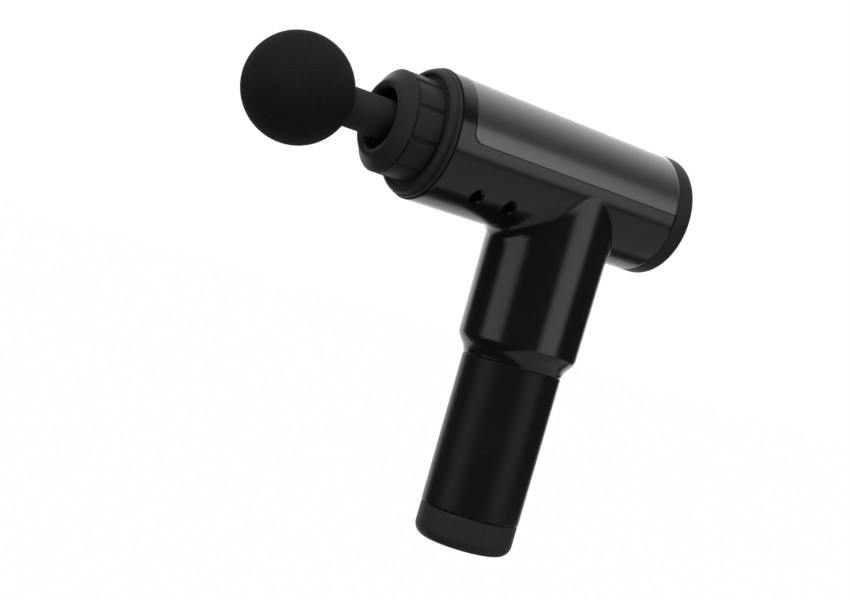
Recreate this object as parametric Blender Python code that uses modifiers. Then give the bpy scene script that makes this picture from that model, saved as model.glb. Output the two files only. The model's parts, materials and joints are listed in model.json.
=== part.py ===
"""Cordless percussion massage gun with a ball head, as an assembly of separate pieces.

Frame: the origin is the centre of the handle's flat base, +Z runs up the handle's axis, and the
head points along -X. The barrel's axis is parallel to X, at AXIS_HEIGHT. +Y is the right-hand side.

The drive is a crank: a motor in the neck turns a crank wheel in the barrel, and a connecting rod
pushes the plunger that carries the head. The pieces are at rest with the plunger fully back.

All sizes are in millimetres; MM turns them into Blender's metres.
"""

import math

import bmesh
import bpy
from mathutils import Matrix

MM = 0.001
COLLECTION = "massage_gun"
CUTTERS = "cutters"

# ---- Driving dimensions ----------------------------------------------------------------------
AXIS_HEIGHT = 187.0  # barrel's axis above the base
GAP = 0.35  # clearance between touching pieces
WALL = 2.4  # moulded wall

BARREL_FRONT = -85.0
BARREL_REAR = 49.7
BARREL_R_FRONT = 32.0
BARREL_R_REAR = 31.0
COVER_FRONT = -77.5
COVER_CORNER = 5.0
REAR_FACE = 60.0
NOSE_FRONT = -90.5

NECK_R_TOP = 30.9
NECK_R_BOTTOM = 30.1
NECK_BOTTOM = 103.5
GRIP_R = 25.2
GRIP_TOP = 93.5
BASE_R = 24.8
BASE_EDGE = 6.5
BASE_TOP = 16.5
LEDGE_Z = 106.0  # inside the neck, where the battery tube's flange rests

COLLAR_FRONT = -110.8
COLLAR_REAR = -89.7
COLLAR_R = 23.6  # at the bottom of the grooves between its pads
COLLAR_PAD_R = 24.7
COLLAR_PADS = 10
COLLAR_PAD_START = 24.0  # degrees from -Y upwards
COLLAR_PAD_SPAN = 28.0
MOUTH_R = 14.6

BALL_X = -153.5
BALL_R = 25.6
STEM_R = 9.5
SPIGOT_R = 7.6

STROKE = 12.0
CRANK_R = STROKE / 2
ROD_LENGTH = 50.0
PLUNGER_R = 12.0
PLUNGER_FRONT = -101.0
WRIST_X = CRANK_R - ROD_LENGTH  # wrist pin at rest
PIN_R = 3.0
ROD_HALF = 3.2  # half the rod's thickness

SCREW_XS = (-61.5, -42.3)
SCREW_Z = AXIS_HEIGHT - 22.5
SCREW_WELL_R = 2.9
SCREW_FLOOR = 11.6  # distance of the well's floor from the middle plane

CELL_R = 9.1
CELL_LENGTH = 65.0
CELL_BOTTOM = 24.5
CELL_COUNT = 3

JACK_X = 9.8
ROCKER_X = -9.8
ROCKER_PIVOT_Z = 4.2
ROCKER_TILT = 8.0  # degrees either way
LIGHT_XY = (4.5, 9.0)
LEAD_XY = (14.5, 8.4)  # a lead's way up between two cells
BASE_SCREW_YS = (-14.0, 14.0)

# How many sides the outer shell's circles have, and those of middling and small pieces.
FINE = 32
ROUND = 24
SMALL = 12


# ---- Scene and materials ---------------------------------------------------------------------
def clear_scene():
    for obj in list(bpy.data.objects):
        bpy.data.objects.remove(obj)


def collection(name):
    made = bpy.data.collections.new(name)
    bpy.context.scene.collection.children.link(made)
    return made


clear_scene()
PARTS = collection(COLLECTION)
HELPERS = collection(CUTTERS)


def material(name, colour, roughness, metallic=0.0):
    made = bpy.data.materials.new(name)
    made.use_nodes = True
    shader = made.node_tree.nodes["Principled BSDF"]
    shader.inputs["Base Color"].default_value = (*colour, 1.0)
    shader.inputs["Roughness"].default_value = roughness
    shader.inputs["Metallic"].default_value = metallic
    return made


GLOSS_BLACK = material("gloss_black_plastic", (0.012, 0.012, 0.014), 0.18)
COVER_GREY = material("graphite_cover", (0.035, 0.035, 0.04), 0.25)
MATTE_BLACK = material("matte_black_plastic", (0.02, 0.02, 0.022), 0.5)
GRIP_RUBBER = material("grip_rubber", (0.012, 0.012, 0.013), 0.7)
FOAM = material("black_foam", (0.01, 0.01, 0.011), 0.9)
SEAL_RUBBER = material("seal_rubber", (0.01, 0.01, 0.01), 0.6)
LENS = material("smoked_lens", (0.005, 0.005, 0.007), 0.06)
ALUMINIUM = material("cast_aluminium", (0.6, 0.61, 0.63), 0.4, 1.0)
STEEL = material("bright_steel", (0.62, 0.62, 0.64), 0.25, 1.0)
BRONZE = material("bearing_bronze", (0.5, 0.33, 0.14), 0.35, 1.0)
COPPER = material("copper_winding", (0.6, 0.26, 0.12), 0.35, 1.0)
BOARD = material("circuit_board", (0.01, 0.09, 0.03), 0.45)
CELL_WRAP = material("cell_wrap", (0.02, 0.12, 0.3), 0.35)
WIRE = material("wire_red", (0.4, 0.02, 0.02), 0.45)
LIGHT_PIPE = material("light_pipe", (0.8, 0.82, 0.85), 0.3)


# ---- Modelling helpers -----------------------------------------------------------------------
def new_object(name, data, mat, helper=False):
    made = bpy.data.objects.new(name, data)
    (HELPERS if helper else PARTS).objects.link(made)
    if mat is not None:
        data.materials.append(mat)
    if helper:
        made.hide_render = True
        made.display_type = "WIRE"
    return made


TURNS = {"Z": (0, 0, 0), "X": (0, math.pi / 2, 0), "Y": (-math.pi / 2, 0, 0)}


def place(obj, centre, along):
    obj.location = [v * MM for v in centre]
    obj.rotation_euler = TURNS[along]


def turned(name, profile, mat, centre=(0, 0, 0), along="Z", steps=ROUND, helper=False):
    """A closed (radius, height) outline, or one that starts and ends at radius 0, turned about its axis."""
    area = sum(a[0] * b[1] - b[0] * a[1] for a, b in zip(profile, profile[1:] + profile[:1]))
    points = profile if area < 0 else profile[::-1]
    on_axis = [r == 0 for r, _ in points]
    while any(on_axis) and not (on_axis[0] and on_axis[-1]):
        points = points[1:] + points[:1]
        on_axis = on_axis[1:] + on_axis[:1]
    edges = [(i, i + 1) for i in range(len(points) - 1)]
    if not any(on_axis):
        edges.append((len(points) - 1, 0))
    mesh = bpy.data.meshes.new(name)
    mesh.from_pydata([(r * MM, 0, h * MM) for r, h in points], edges, [])
    obj = new_object(name, mesh, mat, helper)
    place(obj, centre, along)
    screw = obj.modifiers.new("turn", "SCREW")
    screw.steps = screw.render_steps = steps
    screw.use_merge_vertices = True
    screw.merge_threshold = 0.00001
    obj.data = solid_of(obj)
    obj.modifiers.clear()
    return obj


def rod_shape(name, radius, low, high, mat, centre=(0, 0, 0), along="Z", steps=SMALL, helper=False):
    """A plain cylinder from low to high along its axis."""
    profile = [(0, low), (radius, low), (radius, high), (0, high)]
    return turned(name, profile, mat, centre, along, steps, helper)


def ring_shape(name, inner, outer, low, high, mat, centre=(0, 0, 0), along="Z", steps=SMALL, helper=False):
    """A plain ring from low to high along its axis."""
    profile = [(inner, low), (outer, low), (outer, high), (inner, high)]
    return turned(name, profile, mat, centre, along, steps, helper)


def torus(name, major, minor, mat, centre, along, steps=24, sides=6):
    """A rubber ring: a round section turned about the axis."""
    section = [2 * math.pi * k / sides for k in range(sides)]
    profile = [(major + minor * math.cos(a), minor * math.sin(a)) for a in section]
    return turned(name, profile, mat, centre, along, steps)


def block(name, low, high, mat, bevel=0.0, helper=False):
    """A box between two corners, its edges rounded if bevel is given."""
    mesh = bpy.data.meshes.new(name)
    shape = bmesh.new()
    bmesh.ops.create_cube(shape, size=1.0)
    for vert in shape.verts:
        vert.co = [(low[k] + (vert.co[k] + 0.5) * (high[k] - low[k])) * MM for k in range(3)]
    shape.to_mesh(mesh)
    shape.free()
    obj = new_object(name, mesh, mat, helper)
    if bevel:
        soften(obj, bevel)
    return obj


def soften(obj, width, segments=2):
    bevel = obj.modifiers.new("edges", "BEVEL")
    bevel.width = width * MM
    bevel.segments = segments
    bevel.limit_method = "ANGLE"


def prism(name, outline, low, high, mat, centre=(0, 0, 0), along="Z", helper=False):
    """A flat outline of (x, y) points, given a thickness from low to high along its axis."""
    curve = bpy.data.curves.new(name, "CURVE")
    curve.dimensions = "2D"
    curve.fill_mode = "BOTH"
    curve.extrude = (high - low) / 2 * MM
    spline = curve.splines.new("POLY")
    spline.points.add(len(outline) - 1)
    for point, (x, y) in zip(spline.points, outline):
        point.co = (x * MM, y * MM, 0, 1)
    spline.use_cyclic_u = True
    drawn = bpy.data.objects.new(name + "_outline", curve)
    HELPERS.objects.link(drawn)
    obj = new_object(name, solid_of(drawn), mat, helper)
    bpy.data.objects.remove(drawn)
    obj.data.transform(Matrix.Translation((0, 0, (low + high) / 2 * MM)))
    place(obj, centre, along)
    return obj


def solid_of(obj):
    """The object's evaluated mesh as a closed mesh of its own."""
    bpy.context.view_layer.update()
    graph = bpy.context.evaluated_depsgraph_get()
    mesh = bpy.data.meshes.new_from_object(obj.evaluated_get(graph))
    shape = bmesh.new()
    shape.from_mesh(mesh)
    bmesh.ops.remove_doubles(shape, verts=shape.verts, dist=0.000001)
    bmesh.ops.recalc_face_normals(shape, faces=shape.faces)
    bmesh.ops.dissolve_verts(shape, verts=[v for v in shape.verts if in_flat_fan(v)])
    shape.to_mesh(mesh)
    shape.free()
    return mesh


def in_flat_fan(vert):
    """Whether a point is the middle of a flat end, whose triangles can be one face."""
    on_axis = abs(vert.co.x) + abs(vert.co.y) < 0.0000001
    return on_axis and all(abs(face.normal.z) > 0.9999 for face in vert.link_faces)


def boolean(obj, other, operation):
    step = obj.modifiers.new(operation.lower(), "BOOLEAN")
    step.operation = operation
    step.object = other
    return obj


def cut(obj, *others):
    for other in others:
        boolean(obj, other, "DIFFERENCE")
    return obj


def join(obj, *others):
    for other in others:
        boolean(obj, other, "UNION")
    return obj


def keep_inside(obj, other):
    return boolean(obj, other, "INTERSECT")


def arc(cx, cy, radius, start, end, count):
    """Points on an arc, angles in degrees."""
    angles = [math.radians(start + (end - start) * k / (count - 1)) for k in range(count)]
    return [(cx + radius * math.cos(a), cy + radius * math.sin(a)) for a in angles]


def wire(name, points, radius, mat):
    """A wire through the points, rounded by a smooth curve."""
    curve = bpy.data.curves.new(name, "CURVE")
    curve.dimensions = "3D"
    curve.bevel_depth = radius * MM
    curve.bevel_resolution = 1
    curve.use_fill_caps = True
    smooth = smooth_path(points, 2)
    spline = curve.splines.new("POLY")
    spline.points.add(len(smooth) - 1)
    for point, place_at in zip(spline.points, smooth):
        point.co = (*[v * MM for v in place_at], 1)
    return new_object(name, curve, mat)


def smooth_path(points, steps):
    """A Catmull-Rom curve through the points."""
    ends = [points[0], *points, points[-1]]
    made = []
    for a, b, c, d in zip(ends, ends[1:], ends[2:], ends[3:]):
        for k in range(steps):
            t = k / steps
            made.append(tuple(
                0.5 * (2 * q + (r - p) * t + (2 * p - 5 * q + 4 * r - s) * t * t
                       + (3 * q - p - 3 * r + s) * t ** 3)
                for p, q, r, s in zip(a, b, c, d)))
    return made + [points[-1]]


AXIS = (0, 0, AXIS_HEIGHT)


def barrel_radius(x):
    share = (x - BARREL_FRONT) / (BARREL_REAR - BARREL_FRONT)
    return BARREL_R_FRONT + (BARREL_R_REAR - BARREL_R_FRONT) * share


# ---- Housing and its top cover --------------------------------------------------------------------
def neck_profile():
    """Outer side of the neck with its shoulder, as a solid of revolution."""
    top = AXIS_HEIGHT - 12
    shoulder = [(NECK_R_BOTTOM - 0.7, 101.2), (NECK_R_BOTTOM - 1.7, 99.4), (26.4, 96.9), (GRIP_R, GRIP_TOP)]
    return [(0, top), (NECK_R_TOP, top), (NECK_R_TOP, AXIS_HEIGHT - 20), (NECK_R_BOTTOM, NECK_BOTTOM),
            *shoulder, (0, GRIP_TOP)]


def cover_outline(gap):
    """Side view of the top cover, with a rounded lower front corner, drawn in X and height."""
    front = COVER_FRONT + gap
    bottom = gap
    corner = arc(front + COVER_CORNER, bottom + COVER_CORNER, COVER_CORNER, 180, 270, 6)
    rear = BARREL_REAR + (20 if gap == 0 else -GAP)
    return [(front, 45), *corner, (rear, bottom), (rear, 45)]


def side_prism(name, outline, low, high):
    """A prism along Y from an outline drawn in X and height above the barrel's axis."""
    flat = [(x, -h) for x, h in outline]
    return prism(name, flat, low, high, None, AXIS, "Y", helper=True)


def barrel_tube(name, inner_wall, front, rear, helper, mat=None):
    outer = [(barrel_radius(front), front), (barrel_radius(rear), rear)]
    inner = [(barrel_radius(rear) - inner_wall, rear), (barrel_radius(front) - inner_wall, front)]
    return turned(name, outer + inner, mat, AXIS, "X", FINE, helper)


def main_housing():
    """Barrel and neck in one shell, open at the rear and where the top cover fits."""
    front, rear = BARREL_FRONT, BARREL_REAR - GAP
    outline = [(0, front), (barrel_radius(front) - 0.6, front), (barrel_radius(front), front + 0.6),
               (barrel_radius(rear), rear), (0, rear)]
    body = turned("main_housing", outline, GLOSS_BLACK, AXIS, "X", FINE)
    neck = turned("neck_outer", neck_profile(), None, steps=FINE, helper=True)
    hollow = turned("barrel_hollow", [(0, front - 5), (barrel_radius(front) - WALL, front - 5),
                                      (barrel_radius(rear) - WALL, rear + 5), (0, rear + 5)],
                    None, AXIS, "X", ROUND, helper=True)
    neck_hollow = turned("neck_hollow", [(0, AXIS_HEIGHT - 5), (NECK_R_TOP - WALL, AXIS_HEIGHT - 5),
                                         (NECK_R_TOP - WALL, AXIS_HEIGHT - 30),
                                         (NECK_R_BOTTOM - WALL, LEDGE_Z), (23.85, LEDGE_Z),
                                         (23.85, GRIP_TOP - 5), (0, GRIP_TOP - 5)],
                         None, steps=ROUND, helper=True)
    window = side_prism("cover_window", cover_outline(0.0), -45, 45)
    join(body, neck)
    cut(body, hollow, neck_hollow, window)
    add_screw_bosses(body)


def screw_places():
    """(x, side) of the four screws that hold the drive frame, two on each side."""
    return [(x, side) for side in (-1, 1) for x in SCREW_XS]


def add_screw_bosses(body):
    core = rod_shape("boss_limit", BARREL_R_REAR - 0.6, -90, 60, None, AXIS, "X", ROUND, helper=True)
    for number, (x, side) in enumerate(screw_places()):
        low, high = sorted((side * 9.3, side * 30))
        boss = rod_shape(f"boss_{number}", 4.4, low, high, None, (x, 0, SCREW_Z), "Y", helper=True)
        keep_inside(boss, core)
        join(body, boss)
    for number, (x, side) in enumerate(screw_places()):
        low, high = sorted((side * SCREW_FLOOR, side * 40))
        well = rod_shape(f"screw_well_{number}", SCREW_WELL_R, low, high, None, (x, 0, SCREW_Z), "Y",
                         helper=True)
        low, high = sorted((side * 5, side * 20))
        hole = rod_shape(f"screw_hole_{number}", 1.8, low, high, None, (x, 0, SCREW_Z), "Y", 16, helper=True)
        cut(body, well, hole)


def top_cover():
    """The graphite cover over the barrel's upper half."""
    cover = barrel_tube("top_cover", WALL - 0.2, BARREL_FRONT, BARREL_REAR - GAP, False, COVER_GREY)
    window = side_prism("cover_shape", cover_outline(GAP), -45, 45)
    return keep_inside(cover, window)


def housing_screws():
    for number, (x, side) in enumerate(screw_places(), 1):
        head = SCREW_FLOOR + 0.3
        outline = [(0, head + 2.9), (2.4, head + 2.9), (2.6, head + 2.4), (2.6, head), (1.45, head),
                   (1.45, 2.4), (0, 1.6)]
        screw = turned(f"housing_screw_{number}", [(r, side * y) for r, y in outline], STEEL,
                       (x, 0, SCREW_Z), "Y", 16)
        low, high = sorted((side * (head + 1.8), side * (head + 5)))
        slot = block(f"screw_{number}_slot", (x - 1.5, low, SCREW_Z - 0.35),
                     (x + 1.5, high, SCREW_Z + 0.35), None, helper=True)
        cross = block(f"screw_{number}_cross", (x - 0.35, low, SCREW_Z - 1.5),
                      (x + 0.35, high, SCREW_Z + 1.5), None, helper=True)
        cut(screw, slot, cross)


# ---- Nose: ring, seal and notched collar -----------------------------------------------------
def nose_ring():
    profile = [(31.5, BARREL_FRONT - GAP), (31.2, -87.3), (29.7, -87.3), (29.7, -88.4), (30.7, -88.4),
               (30.2, -89.4), (29.3, -90.1), (28.3, NOSE_FRONT), (27.4, -90.3), (27.1, COLLAR_REAR + 0.4),
               (20.6, COLLAR_REAR + 0.4),
               (20.6, -80.5), (28.9, -80.5), (28.9, BARREL_FRONT - GAP)]
    return turned("nose_ring", profile, MATTE_BLACK, AXIS, "X", FINE)


def nose_collar():
    """Raised grip pads, then a step, a plain ring and a cone that ends in the mouth's rounded lip."""
    lip = COLLAR_FRONT
    profile = [(COLLAR_R, COLLAR_REAR), (COLLAR_R, -104.9), (COLLAR_PAD_R, -105.1), (COLLAR_PAD_R, -105.6),
               (COLLAR_PAD_R - 0.4, -106.0), (19.2, lip + 0.8), (18.2, lip), (16.8, lip),
               (MOUTH_R + 0.4, lip + 0.8), (MOUTH_R, lip + 1.8), (MOUTH_R, lip + 4.5), (20.3, -103.5),
               (20.3, -94.0), (18.0, -92.0), (18.0, -81.5), (20.3, -81.5), (20.3, COLLAR_REAR)]
    collar = turned("nose_collar", profile, MATTE_BLACK, AXIS, "X", FINE)
    pitch = 360 / COLLAR_PADS
    outline = []
    for k in range(COLLAR_PADS):
        start = COLLAR_PAD_START + pitch * k
        end = start + COLLAR_PAD_SPAN
        outline += arc(0, 0, COLLAR_PAD_R, start, end, 3)
        outline += arc(0, 0, COLLAR_R - 0.6, end + 1.2, start + pitch - 1.2, 2)
    # A prism along X is drawn in Z (downwards) and Y, and an angle is measured from -Y upwards.
    flat = [(-y, -x) for x, y in outline]
    pads = prism("collar_pads", flat, -104.4, -90.0, None, AXIS, "X", helper=True)
    core = rod_shape("collar_pads_core", 21.8, -120, -80, None, AXIS, "X", ROUND, helper=True)
    cut(pads, core)
    return join(collar, pads)


# ---- Rear: cap, lens and boards --------------------------------------------------------------
def rear_cap():
    r = BARREL_R_REAR
    profile = [(r, BARREL_REAR), (r, 57.6), (r - 0.7, 59.3), (r - 2.4, REAR_FACE), (25.4, REAR_FACE),
               (25.4, 57.4), (22.5, 57.4), (22.5, 51.5), (26.0, 51.5), (26.0, 44.0), (28.2, 44.0),
               (28.2, BARREL_REAR)]
    return turned("rear_cap", profile, MATTE_BLACK, AXIS, "X", FINE)


def rear_electronics():
    """A smoked lens with the push button in its middle, over the display board, and the control board."""
    ring_shape("control_lens", 6.4, 25.0, 57.75, 59.6, LENS, AXIS, "X", ROUND)
    button = [(0, 60.3), (5.4, 60.3), (6.0, 59.8), (6.0, 57.4), (7.4, 57.4), (7.4, 56.6), (0, 56.6)]
    turned("level_button", button, MATTE_BLACK, AXIS, "X", ROUND)
    board = rod_shape("display_board", 22.0, 52.6, 54.2, BOARD, AXIS, "X", ROUND)
    join(board, rod_shape("button_switch", 3.0, 53.0, 55.5, None, AXIS, "X", 16, helper=True))
    board_low = (36.0, -20, AXIS_HEIGHT - 18)
    board_high = (37.6, 20, AXIS_HEIGHT + 18)
    block("control_board", board_low, board_high, BOARD)
    for number, y in enumerate((-10.0, 0.0, 10.0), 1):
        rod_shape(f"capacitor_{number}", 4.0, 38.0, 49.0, MATTE_BLACK, (0, y, AXIS_HEIGHT + 8), "X", 16)


# ---- Drive: frame, motor, crank, rod and plunger ---------------------------------------------
def drive_frame():
    """The aluminium casting that carries the motor, both shaft bearings and the plunger's guide."""
    h = AXIS_HEIGHT
    frame = ring_shape("drive_frame", 8.25, 26.9, h - 41, h - 37.5, ALUMINIUM, steps=ROUND)
    tower = ring_shape("frame_tower", 8.25, 10.4, h - 66.5, h - 17, None, helper=True, steps=16)
    guide = ring_shape("frame_guide", 15.25, 17.8, -90.2 + 2, -70.0, None, AXIS, "X", 32, helper=True)
    floor = block("frame_floor", (-80.0, -7.5, h - 25.5), (-19.5, 7.5, h - 21.5), None, helper=True)
    web = block("frame_web", (-80.0, -3.5, h - 23.0), (-71.0, 3.5, h - 16.2), None, helper=True)
    riser = block("frame_riser", (-24.5, -7.5, h - 40.5), (-19.5, 7.5, h - 22.0), None, helper=True)
    lugs = [rod_shape(f"frame_lug_{k}", 4.2, -8.9, 8.9, None, (x, 0, SCREW_Z), "Y", helper=True)
            for k, x in enumerate(SCREW_XS)]
    holes = [rod_shape(f"frame_lug_hole_{k}", 1.8, -12, 12, None, (x, 0, SCREW_Z), "Y", helper=True)
             for k, x in enumerate(SCREW_XS)]
    passage = block("frame_wire_notch", (21.5, -9, h - 45), (40, 9, h - 30), None, helper=True)
    join(frame, tower, guide, floor, web, riser, *lugs)
    return cut(frame, *holes, passage)


def stator():
    """Nine wound teeth round the frame's tube."""
    teeth = 9
    outline = []
    for k in range(teeth):
        pitch = 360 / teeth
        middle = pitch * k
        outline += arc(0, 0, 13.0, middle - pitch * 0.47, middle - pitch * 0.22, 2)
        outline += arc(0, 0, 18.8, middle - pitch * 0.42, middle + pitch * 0.42, 4)
        outline += arc(0, 0, 13.0, middle + pitch * 0.22, middle + pitch * 0.47, 2)
    core = prism("motor_stator", outline, AXIS_HEIGHT - 64, AXIS_HEIGHT - 44, COPPER)
    return cut(core, rod_shape("stator_bore", 10.75, 0, AXIS_HEIGHT, None, steps=20, helper=True))


def motor():
    h = AXIS_HEIGHT
    stator()
    profile = [(4.35, h - 72.5), (22.6, h - 72.5), (23.4, h - 71.7), (23.4, h - 42.0), (22.1, h - 42.0),
               (22.1, h - 69.8), (6.5, h - 69.8), (6.5, h - 68.0), (4.35, h - 68.0)]
    turned("rotor_bell", profile, STEEL)
    ring_shape("rotor_magnets", 19.6, 21.7, h - 65, h - 44, MATTE_BLACK, steps=ROUND)
    rod_shape("motor_shaft", 4.0, h - 74.0, h - 12.7, STEEL)
    for name, low in (("lower_bearing", h - 66.3), ("upper_bearing", h - 22.3)):
        ring_shape(name, 4.3, 7.95, low, low + 5, STEEL, steps=16)


def crank_wheel():
    """A disc on the shaft, lightened on the crank pin's side so that the other side balances the drive."""
    h = AXIS_HEIGHT
    outline = [(0, h - 7.6), (20.0, h - 7.6), (20.0, h - 13.8), (8.2, h - 13.8), (8.2, h - 16.6),
               (4.3, h - 16.6),
               (4.3, h - 12.4), (0, h - 12.4)]
    wheel = turned("crank_wheel", outline, STEEL)
    lighter = block("wheel_lighter", (9.5, -25, h - 14.5), (25, 25, h - 10.6), None, helper=True)
    pin_hole = rod_shape("wheel_pin_hole", 4.3, h - 10.8, h - 5, None, (CRANK_R, 0, 0), helper=True)
    return cut(wheel, lighter, pin_hole)


def crank():
    h = AXIS_HEIGHT
    crank_wheel()
    profile = [(0, h - 10.4), (4.0, h - 10.4), (4.0, h - 6.9), (5.2, h - 6.9), (5.2, h - 3.9), (4.0, h - 3.9),
               (4.0, h + 3.4), (0, h + 3.4)]
    turned("crank_pin", profile, STEEL, (CRANK_R, 0, 0), steps=SMALL)
    ring_shape("rod_bearing", 4.3, 7.95, h - 2.8, h + 2.8, STEEL, (CRANK_R, 0, 0), steps=16)
    washer = [(0, h + 3.8), (6.4, h + 3.8), (6.4, h + 5.0), (2.8, h + 5.0), (2.6, h + 7.2), (0, h + 7.2)]
    turned("crank_pin_screw", washer, STEEL, (CRANK_R, 0, 0), steps=16)


def connecting_rod():
    """Big end on the crank pin's bearing, small end on the wrist pin."""
    h = AXIS_HEIGHT
    big_x, small_x = CRANK_R, WRIST_X
    rod = ring_shape("connecting_rod", 8.3, 11.2, h - ROD_HALF, h + ROD_HALF, ALUMINIUM, (big_x, 0, 0),
                     steps=24)
    small = ring_shape("rod_small_end", 3.3, 6.4, h - ROD_HALF, h + ROD_HALF, None, (small_x, 0, 0), steps=16,
                       helper=True)
    beam_outline = [(big_x - 9.6, -5.2), (big_x - 9.6, 5.2), (small_x + 4.6, 3.8), (small_x + 4.6, -3.8)]
    beam = prism("rod_beam", beam_outline, h - ROD_HALF, h + ROD_HALF, None, helper=True)
    return join(rod, small, beam)


def plunger():
    """Socket for the heads in front, and a clevis behind, cross-slotted so that the wrist pin has room."""
    front = PLUNGER_FRONT
    profile = [(SPIGOT_R + 0.5, front), (PLUNGER_R - 0.8, front), (PLUNGER_R, front + 0.8), (PLUNGER_R, -55),
               (0, -55), (0, -60), (6.5, -60), (6.5, front + 26), (SPIGOT_R + 0.5, front + 26)]
    body = turned("plunger", profile, ALUMINIUM, AXIS, "X", ROUND)
    h = AXIS_HEIGHT
    clevis = block("plunger_clevis", (-56.8, -12.4, h - 9.5), (WRIST_X + 7.5, 12.4, h + 9.5), None, 1.2, True)
    throat = block("plunger_throat", (-54.5, -20, h - 3.6), (-20, 20, h + 3.6), None, helper=True)
    half = PIN_R + 1.65
    slot = block("plunger_slot", (WRIST_X - half, -CRANK_R - PIN_R - 0.4, h - 20),
                 (WRIST_X + half, CRANK_R + PIN_R + 0.4, h + 20), None, helper=True)
    join(body, clevis)
    return cut(body, throat, slot)


def guide_and_pins():
    h = AXIS_HEIGHT
    ring_shape("plunger_bush", PLUNGER_R + 0.15, 15.0, -88.0, -70.2, BRONZE, AXIS, "X", ROUND)
    ring_shape("wiper_seal", PLUNGER_R + 0.1, 17.5, -90.8, -88.5, SEAL_RUBBER, AXIS, "X", ROUND)
    rod_shape("wrist_pin", PIN_R, h - 8.8, h + 8.8, STEEL, (WRIST_X, 0, 0), steps=16)


# ---- Handle: battery tube, sleeve, cells and base --------------------------------------------
def battery_tube():
    """Carries the grip sleeve, hangs from the housing's ledge, and has a floor that the base screws bite."""
    outline = [(0, 20.2), (21.0, 20.2), (21.0, 18.0), (23.5, 18.0), (23.5, LEDGE_Z + 0.3),
               (27.0, LEDGE_Z + 0.3),
               (27.0, LEDGE_Z + 2.8), (21.4, LEDGE_Z + 2.8), (21.4, 23.9), (0, 23.9)]
    tube = turned("battery_tube", outline, MATTE_BLACK)
    holes = [rod_shape(f"tube_screw_hole_{k}", 1.8, 15, 30, None, (0, y, 0), steps=16, helper=True)
             for k, y in enumerate(BASE_SCREW_YS)]
    lead_hole = rod_shape("tube_lead_hole", 2.5, 15, 30, None, (*LEAD_XY, 0), steps=16, helper=True)
    return cut(tube, *holes, lead_hole)


def grip_sleeve():
    profile = [(23.85, BASE_TOP + GAP), (GRIP_R - 0.5, BASE_TOP + GAP), (GRIP_R - 0.25, BASE_TOP + 1.0),
               (GRIP_R, GRIP_TOP - 0.9), (GRIP_R - 0.2, GRIP_TOP - GAP), (23.85, GRIP_TOP - GAP)]
    return turned("grip_sleeve", profile, GRIP_RUBBER, steps=FINE)


def base_cap():
    """Closes the handle. The gun stands on its flat face, which is whole in the middle."""
    edge = arc(BASE_R - BASE_EDGE, BASE_EDGE, BASE_EDGE, -90, 0, 7)
    outline = [(0, 0), *edge, (BASE_R, BASE_TOP), (20.7, BASE_TOP), (20.7, 19.8), (18.6, 19.8),
               (18.6, 10.0), (0, 10.0)]
    cap = turned("base_cap", outline, MATTE_BLACK, steps=FINE)
    for number, y in enumerate(BASE_SCREW_YS):
        join(cap, rod_shape(f"base_post_{number}", 3.6, 8, 19.8, None, (0, y, 0), steps=16, helper=True))
        cut(cap, rod_shape(f"base_screw_hole_{number}", 1.8, -1, 22, None, (0, y, 0), steps=16, helper=True),
            rod_shape(f"base_screw_well_{number}", 2.9, -1, 3.2, None, (0, y, 0), steps=16, helper=True))
    jack_hole = rod_shape("base_jack_hole", 4.5, -1, 12, None, (JACK_X, 0, 0), steps=24, helper=True)
    rocker_hole = block("base_rocker_hole", (ROCKER_X - 5.3, -3.9, -1), (ROCKER_X + 5.3, 3.9, 12), None,
                        helper=True)
    light_hole = rod_shape("base_light_hole", 1.5, -1, 12, None, (*LIGHT_XY, 0), steps=16, helper=True)
    return cut(cap, jack_hole, rocker_hole, light_hole)


def power_switch():
    """A rocker that tips about Y, in a case behind the base cap. It rests tipped to off."""
    outline = [(-4.9, -1.9), (0.0, -2.5), (4.9, -1.9), (4.9, 1.6), (-4.9, 1.6)]
    tilt = math.radians(-ROCKER_TILT)
    tipped = [(x * math.cos(tilt) - z * math.sin(tilt), x * math.sin(tilt) + z * math.cos(tilt))
              for x, z in outline]
    flat = [(x, -z) for x, z in tipped]
    prism("power_rocker", flat, -3.5, 3.5, MATTE_BLACK, (ROCKER_X, 0, ROCKER_PIVOT_Z), "Y")
    case = block("switch_case", (ROCKER_X - 6.3, -4.9, 10.3), (ROCKER_X + 6.3, 4.9, 17.0), MATTE_BLACK)
    hollow = block("switch_hollow", (ROCKER_X - 5.2, -3.8, 9), (ROCKER_X + 5.2, 3.8, 14.5), None, helper=True)
    return cut(case, hollow)


def charge_socket():
    """A round socket with a centre pin, open below, and a light pipe beside it."""
    outline = [(3.3, 0.5), (4.15, 0.5), (4.15, 15.0), (0, 15.0), (0, 4.0), (1.0, 4.0), (1.0, 12.4),
               (3.3, 12.4)]
    turned("charge_socket", outline, MATTE_BLACK, (JACK_X, 0, 0), steps=24)
    rod_shape("charge_light", 1.15, 0.3, 12.5, LIGHT_PIPE, (*LIGHT_XY, 0), steps=16)


def base_screws():
    for number, y in enumerate(BASE_SCREW_YS, 1):
        outline = [(0, 0.8), (2.4, 0.8), (2.5, 1.2), (2.5, 2.9), (1.4, 2.9), (1.4, 22.6), (0, 23.2)]
        turned(f"base_screw_{number}", outline, STEEL, (0, y, 0), steps=16)


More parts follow.
